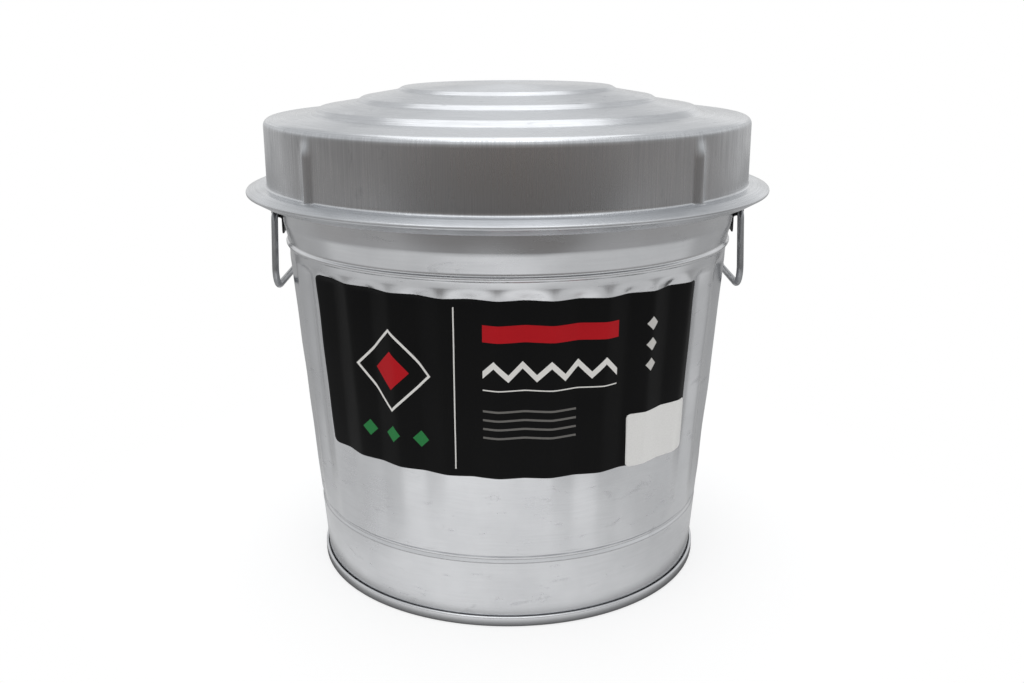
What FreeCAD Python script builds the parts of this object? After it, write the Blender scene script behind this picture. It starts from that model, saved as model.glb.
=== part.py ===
import FreeCAD, Part
import math
import os

# A galvanised steel trash can: a fluted, tapered wall on a double-seamed bottom, a loose stepped
# lid, and two wire drop handles in pressed ears.
# Millimetres. The origin is the middle of the foot, +Z is up, the front faces -Y and the handles
# are on the X axis.

# Sheet, wire and clearances
sheet = 0.6                     # galvanised sheet of the wall, the bottom and the lid
ear_sheet = 1.2                 # pressed ears
rim_wire_diameter = 5.0
handle_wire_diameter = 4.7
seam_gap = 0.1                  # between the layers of a fold, and under a piece that is fastened
running_gap = 0.3               # between pieces that move past each other

# Wall: the radii are those of its outer face, on the crests of the flutes
shoulder_radius = 157.3
wall_taper = 17.8               # how much smaller the foot's radius is
shoulder_height = 240.3         # middle of the shoulder bead
foot_band_height = 7.0          # upright band that the bottom is seamed to
chime_height = 6.4              # outside height of the bottom seam
bottom_recess = 7.5             # from the floor up to the underside of the bottom
bottom_bend = 2.0
groove_height = 49.5            # middle of the ring groove above the foot
groove_half_width = 3.3
groove_depth = 2.9
groove_edge_bend = 1.2
groove_floor_bend = 1.5
bead_half_width = 2.1
bead_rise = 1.9                 # of the bead's unrounded corner over the crests
bead_edge_bend = 1.5
bead_crest_bend = 1.0
neck_rise = 3.5                 # from the middle of the bead to the end of the upright neck
neck_bend = 3.0
collar_flare = 2.7              # how much further the collar stands out than the neck
collar_rise = 15.2              # from the middle of the bead to the foot of the upright collar
collar_bend = 12.0
rim_rise = 83.9                 # from the middle of the bead to the top of the rolled rim

# Flutes and side seam
flute_count = 28
flute_turn = 4.0                # degrees round the can, from the front to the middle of a valley
flute_foot_gap = 4.5            # from the middle of the groove to the foot of the flutes
flute_head_gap = 7.3            # from the head of the flutes to the middle of the bead
flute_foot_runout = 7.0
flute_head_runout = 7.0
flute_foot_depth = 1.2
flute_head_depth = 4.6
flute_head_drop = 0.6           # how far the plain band over the flutes lies under the crests
side_seam_width = 7.0
side_seam_rise = 0.7

# Lid
lid_slack = 3.2                 # between the rolled rim and the skirt, all round
lid_turn = -1.5                 # degrees, how the loose lid lies on the can
lid_corner_bend = 3.9
skirt_height = 44.4             # from the top of the rim down to the top of the flange
cove_bend = 1.4                 # between the skirt and the flange
flange_width = 14.4             # from the skirt to the flange's edge
flange_flat = 6.0               # from the skirt to where the flange bends down
flange_fall = 3.0               # from the flat down to the edge
flange_bend = 4.0
edge_height = 1.8               # straight drop at the flange's edge
edge_bend = 0.5
hem_width = 9.8                 # from the edge back to the hem's lowest line
hem_fall = 5.5                  # from the edge down to the hem's lowest line
hem_bend = 1.4
curl_width = 2.2                # the hem's last turn, back up under the flange
curl_height = 3.6
rib_count = 4
rib_height = 3.0
rib_width = 10.5
rib_crest_bend = 1.0
rib_ramp = 9.0                  # height over which a rib runs out at the top
step_bend = 3.0
outer_panel_width = 33.1
outer_panel_rise = 2.8
outer_flank_run = 5.3
outer_flank_rise = 3.8
middle_panel_width = 25.2
middle_panel_rise = 3.9
middle_flank_run = 4.3
middle_flank_rise = 2.8
inner_panel_width = 24.2
inner_panel_rise = 4.1
inner_flank_run = 3.9
inner_flank_rise = 2.4
crown_rise = 1.5

# Ears and handles
handle_rise = 19.5              # from the middle of the bead to the handle's pivot
handle_drop = 52.0              # from the pivot to the middle of the grip
handle_head_width = 62.0        # between the middles of the legs, at the pivot
handle_grip_width = 84.0        # between the middles of the legs, at the grip
handle_head_bend = 6.0          # bend radii of the wire's middle
handle_grip_bend = 13.0
handle_butt_gap = 0.8           # between the wire's two ends, inside the ear
ear_end_gap = 1.5               # from the ear's end to the wire's bend
ear_below_pivot = 16.5
ear_corner = 4.0
rivet_diameter = 3.2
rivet_head_diameter = 6.0
rivet_head_height = 1.4
rivet_margin = 1.35             # between a rivet's head and the channel or the ear's edge
rivet_inset = 10.0              # from the ear's end to a rivet's middle

# Label and sticker, as seen from the front
paper = 0.25
label_tilt = -0.95              # degrees
label_left = 53.3               # degrees round the can, from the label's middle to its sides
label_right = 52.2
label_foot = 111.0
label_height = 118.0
label_corner = 4.0
sticker_left = 31.5             # degrees round the can, from the label's middle
sticker_right = 53.4
sticker_foot = 110.0
sticker_height = 37.5
sticker_corner = 3.0

# Worked out from the sizes above
AXIS = FreeCAD.Vector(0, 0, 1)
ORIGIN = FreeCAD.Vector(0, 0, 0)
foot_radius = shoulder_radius - wall_taper
collar_radius = shoulder_radius + collar_flare
fold_bend = 0.4 * (sheet + 2 * seam_gap)
hook_face = foot_radius + sheet + 2 * seam_gap
fold_floor = 2 * sheet + seam_gap
flute_foot = groove_height + flute_foot_gap
flute_head = shoulder_height - flute_head_gap
rim_height = shoulder_height + rim_rise
roll_inside = rim_wire_diameter / 2 + seam_gap
roll_outside = roll_inside + sheet
roll_middle = (collar_radius + roll_inside, rim_height - roll_outside)
skirt_radius = roll_middle[0] + roll_outside + lid_slack + sheet
flange_top = rim_height - skirt_height
wire_radius = handle_wire_diameter / 2
pivot_radius = collar_radius + running_gap + wire_radius
pivot_height = shoulder_height + handle_rise
channel_bore = wire_radius + running_gap
channel_outside = channel_bore + ear_sheet
ear_length = handle_head_width - 2 * (handle_head_bend + ear_end_gap)
rivet_rise = channel_outside + rivet_margin + rivet_head_diameter / 2
ear_above_pivot = rivet_rise + rivet_head_diameter / 2 + rivet_margin


def crest_radius(z):
    """Outer radius of the tapered wall on its crests."""
    share = (z - foot_band_height) / (shoulder_height - foot_band_height)
    return foot_radius + share * wall_taper


def polar(radius, angle, z):
    return FreeCAD.Vector(radius * math.cos(angle), radius * math.sin(angle), z)


# Outlines: lines and tangent arcs in a plane, kept as (start, middle, end), middle None in a line

def arc_points(middle, radius, first, last):
    """Arc between two angles in degrees, counter-clockwise where the last is the larger."""
    points = []
    for degrees in (first, (first + last) / 2, last):
        angle = math.radians(degrees)
        points.append((middle[0] + radius * math.cos(angle), middle[1] + radius * math.sin(angle)))
    return tuple(points)


def bent_outline(corners, bends):
    """Lines from corner to corner, with an arc of the given radius at each corner between."""
    outline = []
    start = corners[0]
    for before, corner, after, radius in zip(corners, corners[1:], corners[2:], bends):
        heading = math.atan2(corner[1] - before[1], corner[0] - before[0])
        leaving = math.atan2(after[1] - corner[1], after[0] - corner[0])
        turn = math.remainder(leaving - heading, 2 * math.pi)
        side = math.copysign(1, turn)
        reach = radius * math.tan(abs(turn) / 2)
        end = (corner[0] - reach * math.cos(heading), corner[1] - reach * math.sin(heading))
        middle = (end[0] - side * radius * math.sin(heading), end[1] + side * radius * math.cos(heading))
        first = math.degrees(heading) - side * 90
        outline.append((start, None, end))
        outline.append(arc_points(middle, radius, first, first + math.degrees(turn)))
        start = outline[-1][2]
    outline.append((start, None, corners[-1]))
    return outline


def moved(corners, shift):
    """The corners of the same outline moved to its left, square to its lines."""
    result = []
    count = len(corners)
    for index, corner in enumerate(corners):
        before = corners[max(index - 1, 0)]
        after = corners[min(index + 1, count - 1)]
        coming = math.atan2(corner[1] - before[1], corner[0] - before[0])
        leaving = math.atan2(after[1] - corner[1], after[0] - corner[0])
        if index == 0:
            coming = leaving
        if index == count - 1:
            leaving = coming
        half = math.remainder(leaving - coming, 2 * math.pi) / 2
        length = shift / math.cos(half)
        square = coming + half + math.pi / 2
        result.append((corner[0] + length * math.cos(square), corner[1] + length * math.sin(square)))
    return result


def bend_radii(corners, inside_bends, shift):
    """Radii of the bends on the given side and on the moved side, each inside bend as given."""
    near = []
    far = []
    for before, corner, after, inside in zip(corners, corners[1:], corners[2:], inside_bends):
        cross = (corner[0] - before[0]) * (after[1] - corner[1])
        cross -= (corner[1] - before[1]) * (after[0] - corner[0])
        outside = inside + abs(shift)
        turns_to_moved_side = cross * shift > 0
        near.append(outside if turns_to_moved_side else inside)
        far.append(inside if turns_to_moved_side else outside)
    return near, far


def edges_of(outline):
    """Edges of an outline, standing in the XZ plane."""
    edges = []
    for start, middle, end in outline:
        first = FreeCAD.Vector(start[0], 0, start[1])
        last = FreeCAD.Vector(end[0], 0, end[1])
        if middle is None:
            edges.append(Part.makeLine(first, last))
        else:
            edges.append(Part.Arc(first, FreeCAD.Vector(middle[0], 0, middle[1]), last).toShape())
    return edges


def reversed_outline(outline):
    return [(end, middle, start) for start, middle, end in reversed(outline)]


def closed_face(outline):
    return Part.Face(Part.Wire(edges_of(outline)))


def sheet_face(corners, inside_bends, shift, roll=None):
    """Section of a bent sheet whose one face follows the corners and whose other lies to the left.

    A negative shift puts the other face to the right. A roll is (middle, radius of the face that
    the corners follow, first angle, last angle) and goes on from the last corner."""
    near_bends, far_bends = bend_radii(corners, inside_bends, shift)
    near = bent_outline(corners, near_bends)
    far = bent_outline(moved(corners, shift), far_bends)
    if roll:
        middle, radius, first, last = roll
        inward = math.copysign(shift, shift * (last - first))
        near.append(arc_points(middle, radius, first, last))
        far.append(arc_points(middle, radius - inward, first, last))
    outline = near + [(near[-1][2], None, far[-1][2])] + reversed_outline(far)
    outline.append((far[0][0], None, near[0][0]))
    return closed_face(outline)


def turned(face, degrees=360.0):
    """Solid of a section turned round the can's axis."""
    solid = face.revolve(ORIGIN, AXIS, degrees)
    if solid.Volume < 0:
        solid.reverse()
    return solid


def about_axis(shape, degrees):
    copy = shape.copy()
    copy.rotate(ORIGIN, AXIS, degrees)
    return copy


def rounded_slab(corners, radius, depth):
    """Slab with rounded corners that stands in the XZ plane and reaches forward, to -Y."""
    first, last = corners[0], corners[-1]
    middle = ((first[0] + last[0]) / 2, (first[1] + last[1]) / 2)
    face = closed_face(bent_outline([middle] + corners + [middle], [radius] * len(corners)))
    return face.extrude(FreeCAD.Vector(0, -depth, 0))


# Wall

def lower_wall_corners():
    """Outer face of the wall from the tip of its foot hook up to the foot of the flutes."""
    hook_top = chime_height - sheet - 3 * seam_gap
    low, high = groove_height - groove_half_width, groove_height + groove_half_width
    head_radius = crest_radius(flute_foot)
    return [
        (hook_face, hook_top),
        (hook_face, fold_floor),
        (foot_radius, fold_floor),
        (foot_radius, foot_band_height),
        (crest_radius(low), low),
        (crest_radius(groove_height) - groove_depth, groove_height),
        (crest_radius(high), high),
        (head_radius, (high + flute_foot) / 2),
        (head_radius, flute_foot),
    ]


LOWER_WALL_BENDS = [
    fold_bend, fold_bend, groove_edge_bend,
    groove_edge_bend, groove_floor_bend, groove_edge_bend, groove_edge_bend,
]


def upper_wall_corners():
    """Outer face of the wall from the head of the flutes up to the start of the rolled rim."""
    band_radius = crest_radius(flute_head) - flute_head_drop
    return [
        (band_radius, flute_head),
        (band_radius, shoulder_height - bead_half_width),
        (shoulder_radius + bead_rise, shoulder_height),
        (shoulder_radius, shoulder_height + bead_half_width),
        (shoulder_radius, shoulder_height + neck_rise),
        (collar_radius, shoulder_height + collar_rise),
        (collar_radius, roll_middle[1]),
    ]


UPPER_WALL_BENDS = [bead_edge_bend, bead_crest_bend, bead_edge_bend, neck_bend, collar_bend]


def flute_ring(z, crest, depth):
    """Closed wire of crest and valley arcs that are tangent where they meet."""
    quarter = math.pi / (2 * flute_count)
    crest_height = depth / 2 + crest * (1 - math.cos(quarter))
    meeting = (crest - crest_height) / math.cos(quarter)
    edges = []
    for index in range(2 * flute_count):
        peak = crest if index % 2 else crest - depth
        angle = 2 * quarter * index + math.radians(flute_turn - 90)
        start = polar(meeting, angle - quarter, z)
        end = polar(meeting, angle + quarter, z)
        edges.append(Part.Arc(start, polar(peak, angle, z), end).toShape())
    return Part.Wire(edges)


def flute_stations():
    """Height, crest radius and depth of the flutes where they start, are whole and run out."""
    low = flute_foot + flute_foot_runout
    high = flute_head - flute_head_runout
    return [
        (flute_foot, crest_radius(flute_foot), 0),
        (low, crest_radius(low), flute_foot_depth),
        (high, crest_radius(high), flute_head_depth),
        (flute_head, crest_radius(flute_head) - flute_head_drop, 0),
    ]


def fluted_core(offset):
    """Solid that fills the fluted part of the wall, grown outwards by the offset."""
    rings = [flute_ring(z, crest + offset, depth) for z, crest, depth in flute_stations()]
    return Part.makeLoft(rings, True, True)


def side_seam():
    """Lock seam down the back of the wall, in a valley, pressed flat round the ring groove."""
    foot = (foot_radius, chime_height + seam_gap)
    break_height = groove_height - 2 * groove_half_width
    below = [foot, lower_wall_corners()[3], (crest_radius(break_height), break_height)]
    valley = [(crest - depth, z) for z, crest, depth in flute_stations()[1:]]
    head = (collar_radius, roll_middle[1] - roll_outside)
    above = valley + upper_wall_corners()[1:-1] + [head]
    angle = math.degrees(side_seam_width / shoulder_radius)
    strips = []
    above_bends = [groove_edge_bend] * 2 + UPPER_WALL_BENDS
    for corners, bends in ((below, [groove_edge_bend]), (above, above_bends)):
        face = sheet_face(moved(corners, sheet / 2), bends, -side_seam_rise - sheet / 2)
        strips.append(about_axis(turned(face, angle), 90 + flute_turn - angle / 2))
    return strips


def side_wall():
    lower = turned(sheet_face(lower_wall_corners(), LOWER_WALL_BENDS, sheet))
    roll_end = -math.degrees(math.acos((seam_gap - roll_inside) / roll_outside))
    rim_roll = (roll_middle, roll_inside, 180, roll_end)
    upper = turned(sheet_face(upper_wall_corners(), UPPER_WALL_BENDS, sheet, rim_roll))
    middle = fluted_core(0).cut(fluted_core(-sheet))
    wall = lower.fuse([middle, upper]).removeSplitter()
    wall = wall.fuse(side_seam())
    return wall.cut(rivet_holes(0)).cut(rivet_holes(180))


def rim_wire():
    return Part.makeTorus(roll_middle[0], rim_wire_diameter / 2, FreeCAD.Vector(0, 0, roll_middle[1]))


def bottom_pan():
    """Bottom sheet, folded round the hook of the wall's foot into a double seam."""
    inner_face = foot_radius - sheet - seam_gap
    chime_face = hook_face + sheet + seam_gap
    tuck_face = hook_face - seam_gap
    corners = [
        (0, bottom_recess + sheet),
        (inner_face, bottom_recess + sheet),
        (inner_face, sheet),
        (chime_face, sheet),
        (chime_face, chime_height - sheet),
        (tuck_face, chime_height - sheet),
        (tuck_face, fold_floor + 2 * seam_gap),
    ]
    return turned(sheet_face(corners, [bottom_bend] + [fold_bend] * 4, -sheet))


# Lid

def lid_top_corners():
    """Outer face of the lid from the top of the skirt inwards to the middle of the crown."""
    slope = math.atan2(outer_panel_rise, outer_panel_width)
    seat = roll_middle[1] + (roll_outside + running_gap + sheet) / math.cos(slope)
    radius = skirt_radius
    z = seat - (skirt_radius - roll_middle[0]) * math.tan(slope)
    corners = [(radius, z)]
    runs = [
        (outer_panel_width, outer_panel_rise),
        (outer_flank_run, outer_flank_rise),
        (middle_panel_width, middle_panel_rise),
        (middle_flank_run, middle_flank_rise),
        (inner_panel_width, inner_panel_rise),
        (inner_flank_run, inner_flank_rise),
    ]
    for run, rise in runs:
        radius -= run
        z += rise
        corners.append((radius, z))
    corners.append((radius / 2, z + crown_rise))
    corners.append((0, z + crown_rise))
    return corners


def lid_shell():
    top = lid_top_corners()[::-1]
    crown_half = top[1][0]
    crown_turn = math.atan2(crown_rise, crown_half)
    crown_bend = 0.9 * crown_half / math.tan(crown_turn / 2)
    edge_radius = skirt_radius + flange_width
    edge_top = flange_top - flange_fall
    hem_radius = edge_radius - hem_width
    hem_foot = edge_top - edge_height - hem_fall
    corners = top + [
        (skirt_radius, flange_top),
        (skirt_radius + flange_flat, flange_top),
        (edge_radius, edge_top),
        (edge_radius, edge_top - edge_height),
        (hem_radius, hem_foot),
        (hem_radius - curl_width, hem_foot + curl_height),
    ]
    bends = [crown_bend] + [step_bend] * 6 + [lid_corner_bend, cove_bend, flange_bend]
    bends += [edge_bend, edge_bend, hem_bend]
    return turned(sheet_face(corners, bends, -sheet))


def rib(crest, half_width, back, foot, head):
    """Upright V rib on +X with a rounded crest, cut by a ramp that runs out at its head."""
    base = crest - rib_height
    section = bent_outline(
        [(back, -half_width), (base, -half_width), (crest, 0), (base, half_width), (back, half_width)],
        [rib_crest_bend / 4, rib_crest_bend, rib_crest_bend / 4])
    section.append((section[-1][2], None, section[0][0]))
    prism = closed_face(section).extrude(FreeCAD.Vector(0, -(head - foot), 0))
    prism.rotate(ORIGIN, FreeCAD.Vector(1, 0, 0), -90)
    prism.translate(FreeCAD.Vector(0, 0, foot))
    side = [(back, foot), (crest, foot), (crest, head - rib_ramp), (base, head), (back, head)]
    outline = [(start, None, end) for start, end in zip(side, side[1:] + side[:1])]
    ramp = closed_face(outline).extrude(FreeCAD.Vector(0, 4 * half_width, 0))
    ramp.translate(FreeCAD.Vector(0, -2 * half_width, 0))
    return prism.common(ramp)


def lid():
    """Drawn lid. Its ribs are hollow, and the flange closes them at the foot."""
    shell = lid_shell()
    flank = math.atan2(rib_height, rib_width / 2)
    head = lid_top_corners()[0][1] - lid_corner_bend
    crest = skirt_radius + rib_height
    inner_crest = crest - sheet / math.cos(flank)
    outside = rib(crest, rib_width / 2, skirt_radius - sheet / 2, flange_top - sheet / 2, head)
    hollow = rib(inner_crest, rib_width / 2, skirt_radius - 2 * sheet, flange_top, head - sheet)
    ribs = []
    for index in range(rib_count):
        degrees = (index + 0.5) * 360 / rib_count + lid_turn
        ribs.append(about_axis(outside.cut(hollow), degrees))
        shell = shell.cut(about_axis(hollow, degrees))
    return shell.fuse(ribs).removeSplitter()


# Ears, rivets and handles: made on +X, and turned half round for the left

def ear_profile(half_height):
    """Bar along Y with a round outer side on the pivot, reaching in past the collar."""
    start = FreeCAD.Vector(pivot_radius, -ear_length / 2, pivot_height)
    bar = Part.makeCylinder(half_height, ear_length, start, FreeCAD.Vector(0, 1, 0))
    corner = FreeCAD.Vector(pivot_radius / 2, -ear_length / 2, pivot_height - half_height)
    return bar.fuse(Part.makeBox(pivot_radius / 2, ear_length, 2 * half_height, corner))


def ear():
    """Curved plate on the collar with a straight half-round channel for the handle's wire."""
    foot = pivot_height - ear_below_pivot
    height = ear_below_pivot + ear_above_pivot
    seat = collar_radius + seam_gap
    base = FreeCAD.Vector(0, 0, foot)
    inside = Part.makeCylinder(seat, height, base)
    plate = Part.makeCylinder(seat + ear_sheet, height, base)
    half = ear_length / 2
    outline = [(-half, foot), (half, foot), (half, foot + height), (-half, foot + height)]
    slab = rounded_slab(outline, ear_corner, 2 * collar_radius)
    slab = about_axis(slab, 90)
    channel = ear_profile(channel_outside)
    bore = ear_profile(channel_bore)
    shape = plate.common(slab).fuse(channel).cut(inside).cut(bore)
    return shape.removeSplitter().cut(rivet_holes(0))


def on_rivets(shape, degrees):
    """Copies of a shape made along +X at the origin, at the rivets of one ear."""
    half_angle = math.degrees(math.asin((ear_length / 2 - rivet_inset) / collar_radius))
    copies = []
    for side in (-half_angle, half_angle):
        copy = about_axis(shape, degrees + side)
        copy.translate(FreeCAD.Vector(0, 0, pivot_height + rivet_rise))
        copies.append(copy)
    return Part.makeCompound(copies)


def rivet_holes(degrees):
    start = FreeCAD.Vector(collar_radius - 2 * ear_sheet, 0, 0)
    along = FreeCAD.Vector(1, 0, 0)
    return on_rivets(Part.makeCylinder(rivet_diameter / 2 + seam_gap, 5 * ear_sheet, start, along), degrees)


def rivets(degrees):
    """Two rivets with a domed head on the ear and a flat one inside the wall."""
    inner = collar_radius - sheet - seam_gap
    outer = collar_radius + ear_sheet + 2 * seam_gap
    head = rivet_head_diameter / 2
    shank = rivet_diameter / 2
    flat = rivet_head_height / 2
    dome_radius = (rivet_head_height ** 2 + head ** 2) / (2 * rivet_head_height)
    dome_middle = (outer + rivet_head_height - dome_radius, 0)
    dome_edge = math.degrees(math.asin(head / dome_radius))
    outline = [
        ((inner - flat, 0), None, (inner - flat, head)),
        ((inner - flat, head), None, (inner, head)),
        ((inner, head), None, (inner, shank)),
        ((inner, shank), None, (outer, shank)),
        ((outer, shank), None, (outer, head)),
        arc_points(dome_middle, dome_radius, dome_edge, 0),
        ((outer + rivet_head_height, 0), None, (inner - flat, 0)),
    ]
    return on_rivets(closed_face(outline).revolve(ORIGIN, FreeCAD.Vector(1, 0, 0), 360), degrees)


def handle():
    """Drop handle of one bent wire, hanging straight down, with its ends butted inside the ear."""
    butt, head, grip = handle_butt_gap / 2, handle_head_width / 2, handle_grip_width / 2
    corners = [(butt, 0), (head, 0), (grip, -handle_drop), (-grip, -handle_drop), (-head, 0), (-butt, 0)]
    bends = [handle_head_bend, handle_grip_bend, handle_grip_bend, handle_head_bend]
    path = Part.Wire(edges_of(bent_outline(corners, bends)))
    section = Part.makeCircle(wire_radius, FreeCAD.Vector(butt, 0, 0), FreeCAD.Vector(1, 0, 0))
    wire = path.makePipeShell([Part.Wire(section)], True, False)
    wire.rotate(ORIGIN, AXIS, 90)
    wire.translate(FreeCAD.Vector(pivot_radius, 0, pivot_height))
    return wire


# Paper on the front of the flutes

def across(degrees, z):
    """How far a place on the crests lies to the side, as seen from the front."""
    return crest_radius(z) * math.sin(math.radians(degrees))


def paper_on_flutes(corners, corner_radius, lift):
    """Sheet of paper that lies on the flutes, cut to an outline that is seen from the front."""
    slab = rounded_slab(corners, corner_radius, 2 * shoulder_radius)
    slab.rotate(FreeCAD.Vector(0, 0, label_foot + label_height / 2), FreeCAD.Vector(0, -1, 0), label_tilt)
    return fluted_core(lift + paper).common(slab).cut(fluted_core(lift))


def front_label():
    head = label_foot + label_height
    corners = [
        (across(-label_left, label_foot), label_foot),
        (across(label_right, label_foot), label_foot),
        (across(label_right, head), head),
        (across(-label_left, head), head),
    ]
    return paper_on_flutes(corners, label_corner, seam_gap)


def white_sticker():
    left = across(sticker_left, sticker_foot)
    right = across(sticker_right, sticker_foot)
    head = sticker_foot + sticker_height
    corners = [(left, sticker_foot), (right, sticker_foot), (right, head), (left, head)]
    return paper_on_flutes(corners, sticker_corner, 2 * seam_gap + paper)


def main():
    right_ear = ear()
    right_handle = handle()
    pieces = {
        "side_wall": side_wall(),
        "rim_wire": rim_wire(),
        "bottom_pan": bottom_pan(),
        "right_ear": right_ear,
        "left_ear": about_axis(right_ear, 180),
        "right_ear_rivets": rivets(0),
        "left_ear_rivets": rivets(180),
        "right_handle": right_handle,
        "left_handle": about_axis(right_handle, 180),
        "lid": lid(),
        "front_label": front_label(),
        "white_sticker": white_sticker(),
    }
    os.makedirs("parts", exist_ok=True)
    for name, shape in pieces.items():
        shape.exportStep(os.path.join("parts", name + ".step"))
        box = shape.BoundBox
        print(f"{name}: {len(shape.Solids)} solids, valid {shape.isValid()}, {shape.Volume:.0f} mm3, "
              f"z {box.ZMin:.2f} to {box.ZMax:.2f}, x to {box.XMax:.2f}")


main()
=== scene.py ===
import math

import bmesh
import bpy
from mathutils import Euler, Matrix, Vector, noise


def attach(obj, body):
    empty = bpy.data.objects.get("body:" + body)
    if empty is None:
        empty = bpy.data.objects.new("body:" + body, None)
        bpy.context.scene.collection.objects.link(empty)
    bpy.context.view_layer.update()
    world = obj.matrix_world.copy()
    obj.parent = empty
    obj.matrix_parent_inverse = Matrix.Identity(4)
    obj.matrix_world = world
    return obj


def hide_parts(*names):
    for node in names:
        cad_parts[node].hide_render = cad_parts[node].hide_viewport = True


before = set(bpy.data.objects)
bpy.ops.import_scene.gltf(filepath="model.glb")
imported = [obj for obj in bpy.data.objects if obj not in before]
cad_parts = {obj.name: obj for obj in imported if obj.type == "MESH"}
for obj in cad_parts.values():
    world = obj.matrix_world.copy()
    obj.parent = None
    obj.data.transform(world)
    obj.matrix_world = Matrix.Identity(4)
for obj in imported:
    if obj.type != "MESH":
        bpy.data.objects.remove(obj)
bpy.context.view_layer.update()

# A galvanised steel trash can with a loose stepped lid, wire drop handles and a printed label.
# Pieces are modelled in millimetres and scaled to metres when they are finished.
# Angles round the can are counted from the front, -Y, towards +X.

scene = bpy.context.scene
scene.view_settings.view_transform = "Standard"
MM = 0.001
MERGE_DISTANCE = 0.002

# Wall
SHEET = 0.6
FOOT_RADIUS = 139.5
SHOULDER_RADIUS = 157.3
SHOULDER_HEIGHT = 240.3
WALL_FOOT = 3.0
FOOT_BAND = 7.0
FOOT_BEND = 1.2
GROOVE_HEIGHT = 49.5
GROOVE_HALF_WIDTH = 2.7
GROOVE_DEPTH = 2.3
GROOVE_BEND = 1.5
GROOVE_EDGE_BEND = 1.8
BEAD_HALF_WIDTH = 2.1
BEAD_RISE = 1.9
BEAD_BEND = 1.6
BEAD_EDGE_BEND = 1.5
FLUTES = 28
FLUTE_TURN = math.radians(4.0)
FLUTE_FOOT = 54.0
FLUTE_HEAD = 234.5
FLUTE_HEAD_RUNOUT = 9.0
FLUTE_DEEPEST = FLUTE_HEAD - FLUTE_HEAD_RUNOUT
FLUTE_FOOT_DEPTH = 1.3
FLUTE_HEAD_DEPTH = 4.6
FLUTE_CREASE = 0.95
UNEVEN_HEIGHT = 0.5
UNEVEN_WIDTH = 30.0
UNEVEN_RUN_IN = 20.0
BAND_DROP = 0.6
BAND_EDGE_RISE = 0.7
COLLAR_RADIUS = 160.0
COLLAR_FOOT = 256.9
COLLAR_HEAD = 316.0
FLARE_FOOT = SHOULDER_HEIGHT + 3.5
FLARE_FOOT_BEND = 3.0
FLARE_HEAD = SHOULDER_HEIGHT + 15.2
FLARE_HEAD_BEND = 12.6
UNEVEN_COLLAR_FOOT = SHOULDER_HEIGHT + 5.0
RIM_ROLL_MIDDLE = (162.6, 321.0)

# Lock seam at the back, in two lengths with the ring groove between them
SEAM_FOOT = 6.6
SEAM_FOOT_END = 43.0
SEAM_HEAD = 317.0
SEAM_WIDTH = 7.0
SEAM_RISE = 0.7

# Bottom and chime
BOTTOM_RADIUS = 138.2
BOTTOM_HEIGHT = 7.5
BOTTOM_BEND = 2.0
BOTTOM_SHEET = 0.3
CHIME_RADIUS = 141.6
CHIME_HEIGHT = 6.4
CHIME_BEND = 0.9
CHIME_FOOT_BEND = 0.5
CHIME_LIP_RADIUS = 140.5
CHIME_LIP_BEND = 0.3

# Lid, with the corners of its stepped top from the middle outwards: radius, height, bend
LID_TOP = [
    (0, 345.82, 0),
    (36.8, 345.82, 760),
    (73.6, 344.32, 3.6),
    (77.5, 341.92, 3.0),
    (101.7, 337.82, 3.6),
    (106.0, 335.02, 3.0),
    (131.2, 331.12, 3.6),
    (136.5, 327.32, 3.0),
]
LID_EDGE_HEIGHT = 324.52
LID_EDGE_BEND = 4.5
SKIRT_RADIUS = 169.6
FLANGE_TOP = 279.8
COVE_BEND = 1.5
FLANGE_FLAT = 7.2
FLANGE_BEND = 5.0
FLANGE_EDGE = 184.0
FLANGE_EDGE_TOP = 276.8
FLANGE_EDGE_HEIGHT = 1.8
FLANGE_EDGE_BEND = 1.1
HEM_RADIUS = 174.2
HEM_FOOT = 269.5
HEM_BEND = 2.0
HEM_CURL_WIDTH = 2.2
HEM_CURL_HEIGHT = 3.6
LID_TURN = math.radians(-1.5)
RIB_HEIGHT = 3.0
RIB_WIDTH = 10.5
RIB_HEAD = 321.5
RIB_RAMP = 13.0
RIB_ROUNDING = 0.03
RIB_HALF_ANGLE = math.radians(2.2)

# Handles and ears
PIVOT_RADIUS = 162.65
PIVOT_HEIGHT = 259.8
WIRE_RADIUS = 2.35
WIRE_PLAY = 0.3
HANDLE_DROP = 52.0
HANDLE_HEAD_HALF = 31.0
HANDLE_FOOT_HALF = 42.0
HANDLE_HEAD_BEND = 6.0
HANDLE_FOOT_BEND = 13.0
HANDLE_HALF_GAP = 0.4
EAR_LENGTH = 47.0
EAR_FACE = 161.3
EAR_FOOT = 243.3
EAR_HEAD = 272.35
EAR_SHEET = 1.2
EAR_CORNER = 4.0
CHANNEL_MOUTH_HALF = 4.6
CHANNEL_MOUTH_BEND = 1.2
CHANNEL_BACK_HALF = 3.85
CHANNEL_BACK_BEND = 3.2
RIVET_RISE = 8.2
RIVET_SIDE = 13.5
RIVET_HEAD = 3.0
RIVET_SHANK = 1.6
RIVET_DOME = 1.4
RIVET_BACK = 0.7
RIVET_GAP = 0.1

# Label and sticker
LABEL_TILT = math.radians(0.95)
LABEL_HALF_ANGLE = math.radians(53)
LABEL_SAG = 2.4
LABEL_END_RISE = 1.6
PAPER = 0.25


# Meshes

def finished(bm, name, material, body, slot, *nodes):
    """Makes a millimetre mesh an object in metres that rides on its body."""
    bmesh.ops.scale(bm, vec=(MM, MM, MM), verts=bm.verts)
    mesh = bpy.data.meshes.new(name)
    bm.to_mesh(mesh)
    bm.free()
    mesh.polygons.foreach_set("use_smooth", [True] * len(mesh.polygons))
    mesh.materials.append(material)
    piece = bpy.data.objects.new(name, mesh)
    scene.collection.objects.link(piece)
    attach(piece, body)
    if nodes:
        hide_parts(*nodes)
    return piece


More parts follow.
